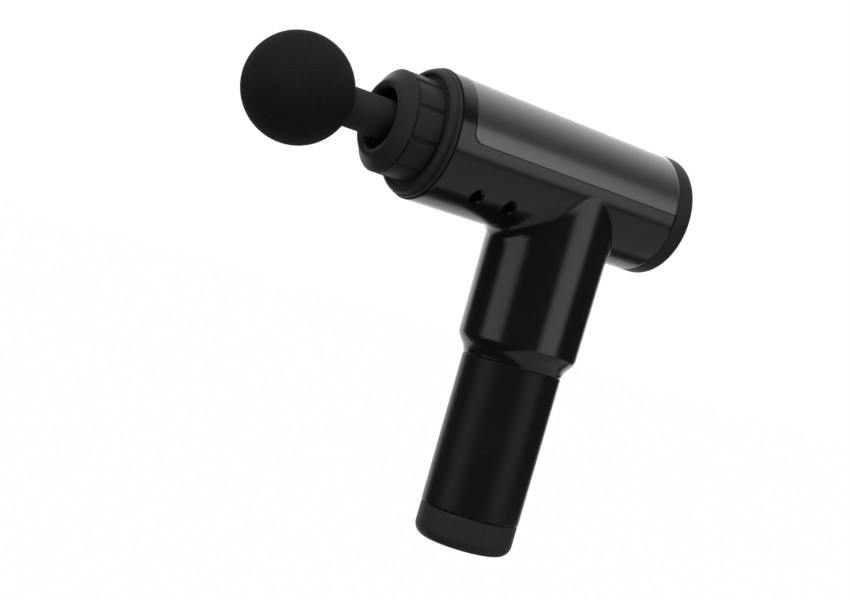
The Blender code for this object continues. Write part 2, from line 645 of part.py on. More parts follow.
def battery():
    """Three cells side by side on the tube's floor, with a holder and the protection board on top."""
    spread = 2 * (CELL_R + 0.15) / math.sqrt(3)
    top = CELL_BOTTOM + CELL_LENGTH
    outline = [(0, CELL_BOTTOM), (CELL_R, CELL_BOTTOM), (CELL_R, top - 1.2), (CELL_R - 0.5, top - 0.9),
               (3.2, top - 0.9), (3.2, top), (0, top)]
    for k in range(CELL_COUNT):
        angle = math.radians(360 / CELL_COUNT * k + 90)
        centre = (spread * math.cos(angle), spread * math.sin(angle), 0)
        turned(f"battery_cell_{k + 1}", outline, CELL_WRAP, centre, steps=16)
    holder = ring_shape("cell_holder", 3.0, 21.0, top + 0.3, top + 1.9, MATTE_BLACK, steps=24)
    cut(holder, rod_shape("holder_lead_hole", 2.5, top - 5, top + 5, None, (*LEAD_XY, 0), steps=16,
                          helper=True))
    block("battery_board", (-12, -9, top + 4.0), (12, 7, top + 5.6), BOARD)


def wiring():
    h = AXIS_HEIGHT
    board = CELL_BOTTOM + CELL_LENGTH + 5.6
    x, y = LEAD_XY
    wire("battery_lead", [(10.0, 3.5, board + 1.9), (15.0, 3.5, board + 3.2), (18.8, 3.5, 103.0),
                          (19.6, 3.5, 109.0), (23.3, 3.5, 112.3), (25.6, 3.5, 117.0), (25.6, 3.5, 132.0),
                          (25.5, 3.5, h - 38.0), (25.5, 3.5, h - 31.0), (27.0, 3.5, h - 26.0),
                          (31.0, 3.5, h - 21.0), (33.6, 3.5, h - 17.0)], 1.3, WIRE)
    wire("motor_lead", [(23.6, -4.0, h - 39.3), (24.0, -4.0, h - 33.0), (25.6, -4.0, h - 27.5),
                        (30.0, -4.0, h - 21.5), (33.6, -4.0, h - 18.0)], 1.6, COPPER)
    wire("display_lead", [(39.0, 0.0, h - 10.0), (43.0, 0.0, h - 11.5), (48.0, 0.0, h - 11.0),
                          (51.6, 0.0, h - 10.0)], 1.3, LIGHT_PIPE)
    wire("charge_lead", [(JACK_X, 1.5, 16.8), (x - 2.0, y - 2.6, 18.6), (x, y, 23.0), (x, y, 40.0),
                         (x, y, 70.0), (x, y, board - 6.0), (x - 0.6, y - 0.2, board - 1.0)], 1.1, WIRE)


# ---- Head: foam ball on its stem -------------------------------------------------------------
def head():
    stem = [(0, -146.0), (7.0, -146.0), (7.0, -129.4), (STEM_R, -129.4), (STEM_R, PLUNGER_FRONT - 1.2),
            (STEM_R - 0.6, PLUNGER_FRONT - 0.4), (SPIGOT_R, PLUNGER_FRONT - 0.4)]
    for x in (-94.0, -84.0):
        stem += [(SPIGOT_R, x - 1.1), (SPIGOT_R - 1.2, x - 1.1), (SPIGOT_R - 1.2, x + 1.1),
                 (SPIGOT_R, x + 1.1)]
    stem += [(SPIGOT_R, -76.4), (SPIGOT_R - 0.8, -75.6), (0, -75.6)]
    turned("head_stem", stem, MATTE_BLACK, AXIS, "X", 24)
    for number, x in enumerate((-94.0, -84.0), 1):
        torus(f"stem_ring_{number}", SPIGOT_R - 0.3, 0.75, SEAL_RUBBER, (x, 0, AXIS_HEIGHT), "X")
    # The ball's outline stops at the stem, whose core goes into a blind hole.
    meet = math.degrees(math.asin((STEM_R + 0.4) / BALL_R))
    outline = [(-y, BALL_X - x) for x, y in arc(0, 0, BALL_R, 0, meet - 180, 12)]
    outline += [(7.35, outline[-1][1]), (7.35, -146.4), (0, -146.4)]
    outline[0] = (0, BALL_X - BALL_R)
    turned("head_ball", outline, FOAM, AXIS, "X", ROUND)


def shade():
    """Bakes each part's modifiers and shades it smooth, with sharp edges where its faces meet at an angle."""
    for obj in PARTS.objects:
        if obj.type != "MESH":
            continue
        mesh = solid_of(obj)
        obj.modifiers.clear()
        obj.data = mesh
        mesh.shade_smooth()
        mesh.set_sharp_from_angle(angle=math.radians(35))


main_housing()
top_cover()
housing_screws()
nose_ring()
torus("nose_seal", 30.35, 0.42, SEAL_RUBBER, (-87.85, 0, AXIS_HEIGHT), "X", FINE)
nose_collar()
rear_cap()
rear_electronics()
drive_frame()
motor()
crank()
connecting_rod()
plunger()
guide_and_pins()
battery_tube()
grip_sleeve()
base_cap()
power_switch()
charge_socket()
base_screws()
battery()
wiring()
head()
shade()
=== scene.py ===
"""Looks of the cordless massage gun: smooth shells, nose, head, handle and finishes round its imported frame.

Frame: the origin is the centre of the handle's flat base, +Z runs up the handle, and the head points
along -X. Shapes are worked out in millimetres and put into the meshes in metres.
"""

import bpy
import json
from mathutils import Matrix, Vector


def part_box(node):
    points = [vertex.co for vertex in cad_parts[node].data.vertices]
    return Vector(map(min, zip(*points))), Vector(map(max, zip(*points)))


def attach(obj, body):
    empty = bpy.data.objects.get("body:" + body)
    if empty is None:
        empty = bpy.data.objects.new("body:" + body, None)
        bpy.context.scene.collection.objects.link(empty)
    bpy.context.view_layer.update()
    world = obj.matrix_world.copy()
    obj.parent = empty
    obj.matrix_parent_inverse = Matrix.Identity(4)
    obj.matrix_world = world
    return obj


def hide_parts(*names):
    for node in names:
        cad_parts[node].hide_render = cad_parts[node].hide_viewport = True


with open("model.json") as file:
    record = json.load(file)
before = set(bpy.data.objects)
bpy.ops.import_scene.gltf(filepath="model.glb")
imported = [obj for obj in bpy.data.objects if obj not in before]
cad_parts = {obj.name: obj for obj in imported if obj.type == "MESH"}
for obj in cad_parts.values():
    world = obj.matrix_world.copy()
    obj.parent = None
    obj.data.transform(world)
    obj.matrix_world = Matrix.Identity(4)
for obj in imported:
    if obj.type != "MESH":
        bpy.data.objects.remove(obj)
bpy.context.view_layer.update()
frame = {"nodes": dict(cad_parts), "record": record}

import json
import math

import bmesh
import bpy
import numpy as np
from mathutils import Matrix, Vector

bl_info = {
    "name": "Massage gun looks",
    "version": (1, 0, 0),
    "blender": (4, 5, 0),
    "location": "3D View > Sidebar > Massage gun",
    "description": "Builds the visible shells, head, handle and finishes of a cordless massage gun",
    "category": "Object",
}

MM = 0.001
LOOK = "look_"  # starts the names of the materials made here, which differ from the frame's own


# ---- Places read from the frame, in millimetres ----------------------------------------------
def low(node, axis):
    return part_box(node)[0]["xyz".index(axis)] / MM


def high(node, axis):
    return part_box(node)[1]["xyz".index(axis)] / MM


AXIS = (low("nose_ring", "z") + high("nose_ring", "z")) / 2  # height of the barrel's axis
BARREL_FRONT = low("main_housing", "x")
BARREL_REAR = high("main_housing", "x")
GRIP_TOP = low("main_housing", "z")
COVER_FRONT = low("top_cover", "x")
BALL_FRONT = low("head_ball", "x")


# ---- Sizes and colours a user would change ----------------------------------------------------
def length(label, about, value):
    return bpy.props.FloatProperty(name=label, description=about, default=value * MM, unit="LENGTH",
                                   precision=4)


def degrees(label, about, value):
    return bpy.props.FloatProperty(name=label, description=about, default=math.radians(value),
                                   subtype="ANGLE", unit="ROTATION")


def colour(label, about, value):
    return bpy.props.FloatVectorProperty(name=label, description=about, default=value, subtype="COLOR",
                                         size=3, min=0, max=1)


def share(label, about, value, top=1.0):
    return bpy.props.FloatProperty(name=label, description=about, default=value, subtype="FACTOR", min=0,
                                   max=top)


class GunShell(bpy.types.PropertyGroup):
    """Sizes of the barrel, the neck and the top cover."""

    front_radius: length("Barrel radius, front", "Outer radius of the barrel at its front edge", 32.0)
    rear_radius: length("Barrel radius, rear", "Outer radius of the barrel at its rear edge", 31.0)
    neck_top: length("Neck radius, top", "Outer radius of the neck under the barrel", 30.9)
    neck_bottom: length("Neck radius, bottom", "Outer radius of the neck above its shoulder", 30.1)
    blend: share("Blend", "Size of the blend between neck and barrel against its full size", 1.0)
    wall: length("Wall", "Thickness of the moulded wall", 2.4)
    seam: length("Seam", "Gap between the cover and the housing", 0.35)
    edge: length("Edge", "Rounding of the moulded edges", 0.22)
    corner: length("Cover corner", "Radius of the cover's lower front corners", 5.0)
    well: length("Screw well", "Radius of the sunk screw holes", 2.9)


class GunNose(bpy.types.PropertyGroup):
    """Sizes of the collar that holds the head."""

    groove_radius: length("Groove radius", "Radius at the bottom of the collar's grooves", 23.6)
    pad_height: length("Pad height", "How far the grip pads stand out", 1.1)
    pads: bpy.props.IntProperty(name="Pads", description="Number of grip pads round the collar", default=10,
                                min=3)
    first_gap: degrees("First notch", "Where the first notch lies, from the side upwards", 20.0)
    gap: degrees("Notch", "Width of the notch between two pads", 8.0)
    mouth_radius: length("Mouth radius", "Radius of the collar's opening", 14.6)


class GunHead(bpy.types.PropertyGroup):
    """Sizes of the foam ball and its stem."""

    ball_radius: length("Ball radius", "Outer radius of the foam ball", 25.6)
    stem_radius: length("Stem radius", "Radius of the stem between ball and collar", 9.5)
    spigot_radius: length("Spigot radius", "Radius of the part that plugs in", 7.6)


class GunFinish(bpy.types.PropertyGroup):
    """Colours of the visible materials."""

    gloss: colour("Housing", "Polished housing", (0.0100, 0.0100, 0.0105))
    cover: colour("Cover", "Graphite top cover", (0.105, 0.103, 0.115))
    matte: colour("Trim", "Fine-grained collar, rings and caps", (0.042, 0.042, 0.0425))
    grip: colour("Grip", "Soft grip sleeve", (0.0135, 0.0135, 0.0140))
    foam: colour("Foam", "Ball head", (0.0220, 0.0220, 0.0220))
    stem: colour("Stem", "Stem of the head", (0.046, 0.046, 0.0465))
    grain: share("Grain", "Depth of the moulded grain against the full depth", 1.0, 2.0)


class GunStage(bpy.types.PropertyGroup):
    """Camera, floor and soft light."""

    eye: bpy.props.FloatVectorProperty(name="Camera", description="Place of the camera", size=3,
                                       subtype="TRANSLATION", unit="LENGTH",
                                       default=(-0.428876, -0.600882, 0.109344))
    yaw: degrees("Yaw", "Turn of the view from +Y towards +X", 31.596)
    pitch: degrees("Pitch", "Tilt of the view above the horizon", 0.236)
    roll: degrees("Roll", "Turn of the camera about its own axis", 16.04)
    lens: bpy.props.FloatProperty(name="Lens", description="Focal length on a 36 mm sensor, in mm",
                                  default=62.59, min=1)
    left_box: share("Left softbox", "Brightness of the softbox in front of the head", 1.05, 10)
    right_box: share("Right softbox", "Brightness of the softbox beside the camera", 1.32, 10)
    key_box: share("Key softbox", "Brightness of the softbox above the head", 5.0, 10)
    overhead: share("Overhead", "Brightness of the soft ceiling behind the gun", 1.2, 10)
    backdrop: share("Backdrop", "Brightness of the paper behind the gun", 1.2, 10)
    fill: share("Fill", "Even light on matt surfaces from all sides", 0.19, 10)
    floor: colour("Floor", "Plain pale floor", (0.995, 0.995, 0.995))


def sizes(group):
    """The property group's lengths in millimetres, its angles in radians and its other values as they are."""
    found = {}
    for key, prop in group.bl_rna.properties.items():
        if key not in ("rna_type", "name"):
            value = getattr(group, key)
            found[key] = value / MM if prop.unit == "LENGTH" else value
    return found


# ---- Surfaces ----------------------------------------------------------------------------------
def softened(corners, reach, steps=6):
    """A closed profile with rounded corners. Each corner becomes a quadratic Bezier curve between two
    points on its neighbouring sides, each at most reach away from the corner and never past 45% of a side."""
    points = np.asarray(corners, float)

    def toward(others):
        side = others - points
        distance = np.linalg.norm(side, axis=1)
        part = np.minimum(np.asarray(reach, float) / np.maximum(distance, 1e-9), 0.45)
        return (points + side * part[:, None])[:, None]

    t = np.linspace(0, 1, steps)[None, :, None]
    start, end = toward(np.roll(points, 1, 0)), toward(np.roll(points, -1, 0))
    curve = (1 - t) ** 2 * start + 2 * t * (1 - t) * points[:, None] + t ** 2 * end
    return curve.reshape(-1, 2)


def round_barrel(profile, columns=160):
    """A profile of (radius, x) turned round the barrel's axis: the point (r, x) at the angle a from -Y
    upwards goes to (x, -r cos a, axis + r sin a)."""
    radius, along = np.asarray(profile, float).T[:, :, None]
    turn = np.linspace(0, 2 * np.pi, columns, endpoint=False)[None]
    return np.stack(np.broadcast_arrays(along, -radius * np.cos(turn), AXIS + radius * np.sin(turn)), -1)


def round_handle(profile, columns=160):
    """A profile of (radius, z) turned round the handle's axis: the point (r, z) at the angle a goes to
    (r cos a, r sin a, z)."""
    radius, along = np.asarray(profile, float).T[:, :, None]
    turn = np.linspace(0, 2 * np.pi, columns, endpoint=False)[None]
    return np.stack(np.broadcast_arrays(radius * np.cos(turn), radius * np.sin(turn), along), -1)


def grid_faces(rows, columns, first, closed_rows, closed_columns):
    """Four corners of every cell of a grid whose points are numbered row by row from first."""
    index = first + np.arange(rows * columns).reshape(rows, columns)
    if closed_rows:
        index = np.vstack([index, index[:1]])
    if closed_columns:
        index = np.hstack([index, index[:, :1]])
    return np.stack([index[:-1, :-1], index[:-1, 1:], index[1:, 1:], index[1:, :-1]], -1).reshape(-1, 4)


def mesh_of(name, *grids):
    """One mesh from (points, closed_rows, closed_columns) grids in millimetres. Points that coincide, as
    at poles and where two grids meet, are merged, and the faces are turned to point outwards."""
    first = 0
    points, faces = [], []
    for grid, closed_rows, closed_columns in grids:
        rows, columns = grid.shape[:2]
        points.append(grid.reshape(-1, 3) * MM)
        faces.append(grid_faces(rows, columns, first, closed_rows, closed_columns))
        first += rows * columns
    mesh = bpy.data.meshes.new(name)
    mesh.from_pydata(np.concatenate(points), [], np.concatenate(faces))
    shape = bmesh.new()
    shape.from_mesh(mesh)
    bmesh.ops.remove_doubles(shape, verts=shape.verts, dist=2e-7)
    bmesh.ops.recalc_face_normals(shape, faces=shape.faces)
    shape.to_mesh(mesh)
    shape.free()
    return mesh


def settled(obj):
    """Replaces the object's mesh by the one its modifiers make."""
    bpy.context.view_layer.update()
    graph = bpy.context.evaluated_depsgraph_get()
    mesh = bpy.data.meshes.new_from_object(obj.evaluated_get(graph))
    obj.modifiers.clear()
    obj.data = mesh
    return obj


def thicken(obj, wall, edge):
    """Gives an open skin its wall, inwards, and rounds the wall's edges."""
    shell = obj.modifiers.new("wall", "SOLIDIFY")
    shell.thickness = wall * MM
    shell.offset = -1
    shell.use_even_offset = True
    bevel = obj.modifiers.new("edges", "BEVEL")
    bevel.width = edge * MM
    bevel.segments = 2
    bevel.limit_method = "ANGLE"
    bevel.angle_limit = math.radians(50)
    return settled(obj)


def carve(obj, cutter_mesh):
    """Cuts a closed mesh out of the object and removes the cutter."""
    cutter = bpy.data.objects.new(obj.name + "_cutter", cutter_mesh)
    bpy.context.scene.collection.objects.link(cutter)
    step = obj.modifiers.new("carve", "BOOLEAN")
    step.operation = "DIFFERENCE"
    step.solver = "EXACT"
    step.object = cutter
    settled(obj)
    bpy.data.objects.remove(cutter)
    return obj


def new_object(mesh):
    obj = bpy.data.objects.new(mesh.name, mesh)
    bpy.context.scene.collection.objects.link(obj)
    return obj


def keep(obj, body, slot, nodes, crease=32):
    """Shades the piece smooth up to a crease angle, lets it ride its body in the nodes' place and gives it
    its material."""
    if not obj.data.polygons:
        raise RuntimeError(f"{obj.name} has no faces")
    obj.data.shade_smooth()
    obj.data.set_sharp_from_angle(angle=math.radians(crease))
    obj.data.materials.clear()
    obj.data.materials.append(bpy.data.materials[LOOK + slot])
    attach(obj, body)
    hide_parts(*nodes)
    return obj


def simple_piece(name, grid, body, slot, node, closed_rows=True):
    """A turned piece in one call."""
    return keep(new_object(mesh_of(name, (grid, closed_rows, True))), body, slot, [node])


# ---- Shader groups -----------------------------------------------------------------------------
VALUES = ("Roughness", "Mottle", "Spread", "Grain Scale", "Patch Scale", "Depth")


def new_group(name, defaults):
    """A shader node group that takes a place, a colour and the named values, and puts out Color, Roughness
    and Normal."""
    tree = bpy.data.node_groups.new(name, "ShaderNodeTree")
    for label in ("Vector", "Color"):
        tree.interface.new_socket(label, in_out="INPUT", socket_type="NodeSocket" + label)
    for label, value in zip(VALUES, defaults):
        socket = tree.interface.new_socket(label, in_out="INPUT", socket_type="NodeSocketFloat")
        socket.default_value = value
    for label, kind in (("Color", "Color"), ("Roughness", "Float"), ("Normal", "Vector")):
        tree.interface.new_socket(label, in_out="OUTPUT", socket_type="NodeSocket" + kind)
    return tree, tree.nodes.new("NodeGroupInput"), tree.nodes.new("NodeGroupOutput")


def noise(tree, vector, scale, detail):
    node = tree.nodes.new("ShaderNodeTexNoise")
    node.inputs["Detail"].default_value = detail
    tree.links.new(vector, node.inputs["Vector"])
    if isinstance(scale, (int, float)):
        node.inputs["Scale"].default_value = scale
    else:
        tree.links.new(scale, node.inputs["Scale"])
    return node.outputs["Fac"]


def calculate(tree, operation, *values):
    node = tree.nodes.new("ShaderNodeMath")
    node.operation = operation
    for socket, value in zip(node.inputs, values):
        if isinstance(value, (int, float)):
            socket.default_value = value
        else:
            tree.links.new(value, socket)
    return node.outputs[0]


def lightened(tree, base, amount):
    """The colour made lighter or darker: its value is multiplied by 1 + amount."""
    node = tree.nodes.new("ShaderNodeHueSaturation")
    tree.links.new(base, node.inputs["Color"])
    tree.links.new(calculate(tree, "ADD", amount, 1.0), node.inputs["Value"])
    return node.outputs["Color"]


def bumped(tree, height, depth):
    node = tree.nodes.new("ShaderNodeBump")
    node.inputs["Strength"].default_value = 1.0
    tree.links.new(depth, node.inputs["Distance"])
    tree.links.new(height, node.inputs["Height"])
    return node.outputs["Normal"]


def put_out(tree, given, made, tint, change, height):
    """Ends a group: the tint varies the colour, the change varies the roughness and the height bends the
    normal."""
    mottle = calculate(tree, "MULTIPLY", tint, given.outputs["Mottle"])
    tree.links.new(lightened(tree, given.outputs["Color"], mottle), made.inputs["Color"])
    varied = calculate(tree, "MULTIPLY", change, given.outputs["Spread"])
    tree.links.new(calculate(tree, "ADD", varied, given.outputs["Roughness"]), made.inputs["Roughness"])
    tree.links.new(bumped(tree, height, given.outputs["Depth"]), made.inputs["Normal"])
    return tree


def grain_group():
    """Moulded grain: fine noise raises the surface, and broad noise varies the colour and roughness."""
    tree, given, made = new_group("moulded_grain", (0.5, 0.1, 0.05, 900.0, 30.0, 0.00002))
    fine = noise(tree, given.outputs["Vector"], given.outputs["Grain Scale"], 2.0)
    broad = noise(tree, given.outputs["Vector"], given.outputs["Patch Scale"], 4.0)
    centred = calculate(tree, "SUBTRACT", broad, 0.5)
    speck = calculate(tree, "SUBTRACT", fine, 0.5)
    mixed = calculate(tree, "ADD", centred, speck)
    return put_out(tree, given, made, mixed, mixed, fine)


def foam_group():
    """Foam skin: rounded cells sink into the surface, and painted shade darkens their floors; broad noise
    varies the tone at random and the roughness.
    """
    tree, given, made = new_group("foam_cells", (0.9, 0.3, 0.05, 900.0, 40.0, 0.0001))
    cells = tree.nodes.new("ShaderNodeTexVoronoi")
    cells.feature = "SMOOTH_F1"
    tree.links.new(given.outputs["Vector"], cells.inputs["Vector"])
    tree.links.new(given.outputs["Grain Scale"], cells.inputs["Scale"])
    broad = noise(tree, given.outputs["Vector"], given.outputs["Patch Scale"], 3.0)
    # Colour: painted shade in the sunken cell floors, following the cells' depth, plus broad noise as random
    # tone.
    mixed = calculate(tree, "SUBTRACT", calculate(tree, "ADD", cells.outputs["Distance"], broad), 0.9)
    return put_out(tree, given, made, mixed, broad, cells.outputs["Distance"])


def band_group():
    """Fine parallel bands, as on wound wire, turned metal and printed boards, over broad patches."""
    tree, given, made = new_group("fine_bands", (0.4, 0.3, 0.1, 300.0, 60.0, 0.00005))
    bands = tree.nodes.new("ShaderNodeTexWave")
    bands.bands_direction = "Z"
    bands.inputs["Distortion"].default_value = 0.6
    tree.links.new(given.outputs["Vector"], bands.inputs["Vector"])
    tree.links.new(given.outputs["Grain Scale"], bands.inputs["Scale"])
    broad = noise(tree, given.outputs["Vector"], given.outputs["Patch Scale"], 3.0)
    mixed = calculate(tree, "SUBTRACT", calculate(tree, "ADD", bands.outputs["Fac"], broad), 1.0)
    return put_out(tree, given, made, mixed, mixed, bands.outputs["Fac"])


def finish_material(name, group, base, values, metallic=0.0, **shader_values):
    """A material whose colour, roughness and normal come from one of the groups, with its own values."""
    material = bpy.data.materials.new(LOOK + name)
    material.use_nodes = True
    tree = material.node_tree
    shader = tree.nodes["Principled BSDF"]
    shader.inputs["Metallic"].default_value = metallic
    for label, value in shader_values.items():
        shader.inputs[label.replace("_", " ")].default_value = value
    pattern = tree.nodes.new("ShaderNodeGroup")
    pattern.node_tree = group
    pattern.inputs["Color"].default_value = (*base, 1.0)
    for label, value in zip(VALUES, values):
        pattern.inputs[label].default_value = value
    place = tree.nodes.new("ShaderNodeTexCoord")
    tree.links.new(place.outputs["Object"], pattern.inputs["Vector"])
    tree.links.new(pattern.outputs["Color"], shader.inputs["Base Color"])
    tree.links.new(pattern.outputs["Roughness"], shader.inputs["Roughness"])
    tree.links.new(pattern.outputs["Normal"], shader.inputs["Normal"])
    return material


class GUN_OT_finishes(bpy.types.Operator):
    """Makes the material of every slot and puts it on the frame's own pieces"""

    bl_idname = "massage_gun.finishes"
    bl_label = "Finishes"

    def execute(self, context):
        own = context.scene.gun_finish
        grain, foam, bands = grain_group(), foam_group(), band_group()
        deep = own.grain
        # Values: roughness, mottle, roughness spread, grain scale, patch scale, depth in metres.
        finish_material("gloss_housing", grain, own.gloss, (0.18, 0.10, 0.05, 700, 22, 1.0e-6 * deep))
        finish_material("cover", grain, own.cover, (0.32, 0.10, 0.05, 900, 22, 1.5e-6 * deep), 0.6,
                        Coat_Weight=0.7, Coat_Roughness=0.12)
        finish_material("matte_trim", grain, own.matte, (0.44, 0.35, 0.10, 2600, 40, 7e-6 * deep),
                        Specular_IOR_Level=0.06)
        finish_material("grip", grain, own.grip, (0.28, 0.45, 0.10, 3200, 35, 3e-6 * deep),
                        Specular_IOR_Level=0.13)
        # The foam's Mottle sets both the painted shade in its sunken cell floors and its random tone.
        finish_material("foam", foam, own.foam, (0.72, 0.55, 0.10, 1500, 60, 6e-5 * deep),
                        Specular_IOR_Level=0.03)
        finish_material("head_plastic", grain, own.stem, (0.75, 0.35, 0.10, 2400, 40, 1.0e-5 * deep),
                        Specular_IOR_Level=0.03)
        finish_material("inner_plastic", grain, (0.02, 0.02, 0.02), (0.55, 0.3, 0.1, 1800, 40, 1.5e-5))
        finish_material("seal", grain, (0.008, 0.008, 0.008), (0.6, 0.3, 0.1, 1500, 60, 1e-5))
        finish_material("lens", grain, (0.006, 0.006, 0.007), (0.08, 0.1, 0.03, 500, 25, 5e-7))
        finish_material("light_pipe", grain, (0.75, 0.78, 0.8), (0.35, 0.1, 0.1, 900, 60, 4e-6))
        finish_material("cast_aluminium", grain, (0.55, 0.56, 0.57), (0.42, 0.25, 0.15, 1300, 70, 3e-5), 1.0)
        finish_material("steel", bands, (0.16, 0.16, 0.165), (0.34, 0.2, 0.1, 1400, 90, 3e-6), 1.0)
        finish_material("magnets", grain, (0.3, 0.3, 0.32), (0.3, 0.2, 0.1, 1500, 80, 5e-6), 1.0)
        finish_material("windings", bands, (0.72, 0.32, 0.12), (0.3, 0.4, 0.1, 420, 80, 8e-5), 1.0)
        finish_material("boards", bands, (0.012, 0.09, 0.035), (0.35, 0.5, 0.1, 260, 220, 8e-6))
        finish_material("capacitors", grain, (0.03, 0.035, 0.06), (0.3, 0.2, 0.1, 900, 90, 3e-6))
        finish_material("cells", grain, (0.05, 0.20, 0.30), (0.33, 0.2, 0.1, 700, 50, 4e-6))
        finish_material("leads", grain, (0.35, 0.02, 0.015), (0.45, 0.2, 0.1, 1200, 70, 5e-6))
        for part in frame["record"]["subparts"]:
            node = frame["nodes"][part["node"]]
            node.data.materials.clear()
            node.data.materials.append(bpy.data.materials[LOOK + part["material_slot"]])
        return {"FINISHED"}


# ---- Housing and top cover ---------------------------------------------------------------------
def barrel_radius(x, shell):
    part = (x - BARREL_FRONT) / (BARREL_REAR - BARREL_FRONT)
    return shell["front_radius"] + (shell["rear_radius"] - shell["front_radius"]) * part


def on_barrel(x, turn, shell):
    """The barrel's cone: at x and at an angle turn from straight down towards +Y, the point is
    (x, R sin turn, axis - R cos turn), where R shrinks evenly towards the rear."""
    radius = barrel_radius(x, shell)
    return np.stack(np.broadcast_arrays(x, radius * np.sin(turn), AXIS - radius * np.cos(turn)), -1)


NECK_TOP_Z = AXIS - 20
NECK_BOTTOM_Z = 103.5
SHOULDER = ((25.2, GRIP_TOP), (25.5, 94.9), (26.4, 96.9), (28.4, 99.5), (29.3, 100.9), (29.8, 102.0),
            (30.05, 102.9))
# Knots of the blend: degrees from the front, reach and height.
BLEND = ((0, 8.0, 8.0), (15, 8.0, 8.0), (45, 5.5, 6.5), (60, 2.2, 6.0), (75, 0.45, 6.0), (90, 0.08, 6.0),
         (105, 0.25, 5.0), (130, 1.3, 3.0), (170, 1.6, 1.6), (180, 1.6, 1.6))


def neck_radius(z, shell):
    part = np.clip((z - NECK_BOTTOM_Z) / (NECK_TOP_Z - NECK_BOTTOM_Z), 0, 1)
    return shell["neck_bottom"] + (shell["neck_top"] - shell["neck_bottom"]) * part


def boundary(shell):
    """The loop that the housing's skin ends on, as (x, turn): the rear edge, then forward along the
    cover's seam on the +Y side, the front edge, and back along the -Y side."""
    half = np.pi / 2
    corner_x = COVER_FRONT - shell["seam"] + shell["corner"]
    rear = np.linspace(-half, half, 145)[:-1]
    seam = np.linspace(BARREL_REAR, corner_x, 120)[:-1]
    hoop = np.linspace(corner_x, BARREL_FRONT, 15)[:-1]
    front = np.linspace(half, -half, 145)[:-1]
    along = np.concatenate([seam, hoop])
    x = np.concatenate([np.full(len(rear), BARREL_REAR), along, np.full(len(front), BARREL_FRONT),
                        np.append(along, BARREL_FRONT)[:0:-1]])
    turn = np.concatenate([rear, np.full(len(along), half), front, np.full(len(along), -half)])
    return x, turn, np.append(hoop, BARREL_FRONT)


def blend_size(angle, shell):
    """Reach out from the neck and height down it of the blend, at an angle from the front: straight lines
    between the knots, averaged over 16 degrees so that no knot shows."""
    spread = np.radians(np.linspace(-8, 8, 9))[:, None]
    knots = np.radians([knot[0] for knot in BLEND])
    reach, height = (shell["blend"] * np.interp(np.abs(angle + spread), knots, sizes_at).mean(0)
                     for sizes_at in ([knot[1] for knot in BLEND], [knot[2] for knot in BLEND]))
    return reach, height


def housing_skin(shell):
    """Rows run up the shoulder and the neck, through the blend and out over the barrel; columns run round
    the neck, each towards its own point of the boundary. The blend is a quadratic Bezier curve in the
    plane through the neck's axis, tangent to the neck below and to the barrel's cone above."""
    edge_x, edge_turn, hoop_x = boundary(shell)
    around = np.arctan2(shell["front_radius"] * edge_turn, edge_x)
    cos, sin = np.cos(around), np.sin(around)

    def underside(reach):
        radius = barrel_radius(reach * cos, shell)
        return AXIS - np.sqrt(np.maximum(radius ** 2 - (reach * sin) ** 2, 1e-6))

    neck = shell["neck_top"]
    out_by, height = blend_size(np.pi - np.abs(around), shell)
    reach = neck + out_by
    slope = (underside(reach + 0.01) - underside(reach - 0.01)) / 0.02
    corner_z = underside(reach) - slope * (reach - neck)
    low_z = corner_z - height
    t = np.linspace(0, 1, 19)[:, None]
    bend = [(1 - t) ** 2 * a + 2 * t * (1 - t) * b + t ** 2 * c for a, b, c in (
        (neck_radius(low_z, shell), neck_radius(corner_z, shell), reach),
        (low_z, corner_z, underside(reach)))]
    shoulder = np.asarray(SHOULDER)
    dense = np.linspace(0, len(shoulder) - 1, 15)
    shoulder_r = np.interp(dense, np.arange(len(shoulder)), shoulder[:, 0])[:, None] + 0 * around
    shoulder_z = np.interp(dense, np.arange(len(shoulder)), shoulder[:, 1])[:, None] + 0 * around
    rise = np.linspace(0, 1, 9)[:-1, None]
    neck_z = NECK_BOTTOM_Z + (low_z - NECK_BOTTOM_Z) * rise
    radius = np.vstack([shoulder_r, neck_radius(neck_z, shell), bend[0]])
    z = np.vstack([shoulder_z, neck_z, bend[1]])
    lower = np.stack([radius * cos, radius * sin, z], -1)
    start_x = reach * cos
    start_turn = np.arcsin(np.clip(reach * sin / barrel_radius(start_x, shell), -1, 1))
    out = np.linspace(0, 1, 25)[1:, None]
    upper = on_barrel(start_x + (edge_x - start_x) * out, start_turn + (edge_turn - start_turn) * out, shell)
    return np.concatenate([lower, upper]), hoop_x


def corner_front(height, radius):
    """How far behind the straight front edge a rounded corner's edge lies at a height above its bottom."""
    rest = np.clip(radius - height, 0, radius)
    return radius - np.sqrt(radius ** 2 - rest ** 2)


def upper_turns(lift, shell):
    """Angles over the top of the barrel, closer together in the two rounded corners."""
    radius = barrel_radius(COVER_FRONT, shell)
    rise = lift + shell["corner"] * (1 - np.cos(np.linspace(0, np.pi / 2, 13)))
    corner = np.pi / 2 + np.arcsin(rise / radius)
    middle = np.linspace(corner[-1], 2 * np.pi - corner[-1], 131)[1:-1]
    return np.concatenate([corner, middle, 2 * np.pi - corner[::-1]]), radius


def housing_hoop(hoop_x, shell):
    """The hoop in front of the cover. Its rear edge is straight over the top and curves back into the
    seams at both sides."""
    turn, radius = upper_turns(0.0, shell)
    straight = COVER_FRONT - shell["seam"]
    edge = straight + corner_front(-radius * np.cos(turn), shell["corner"])
    part = (hoop_x - BARREL_FRONT) / (hoop_x[0] - BARREL_FRONT)
    return on_barrel(BARREL_FRONT + (edge[:, None] - BARREL_FRONT) * part, turn[:, None], shell)


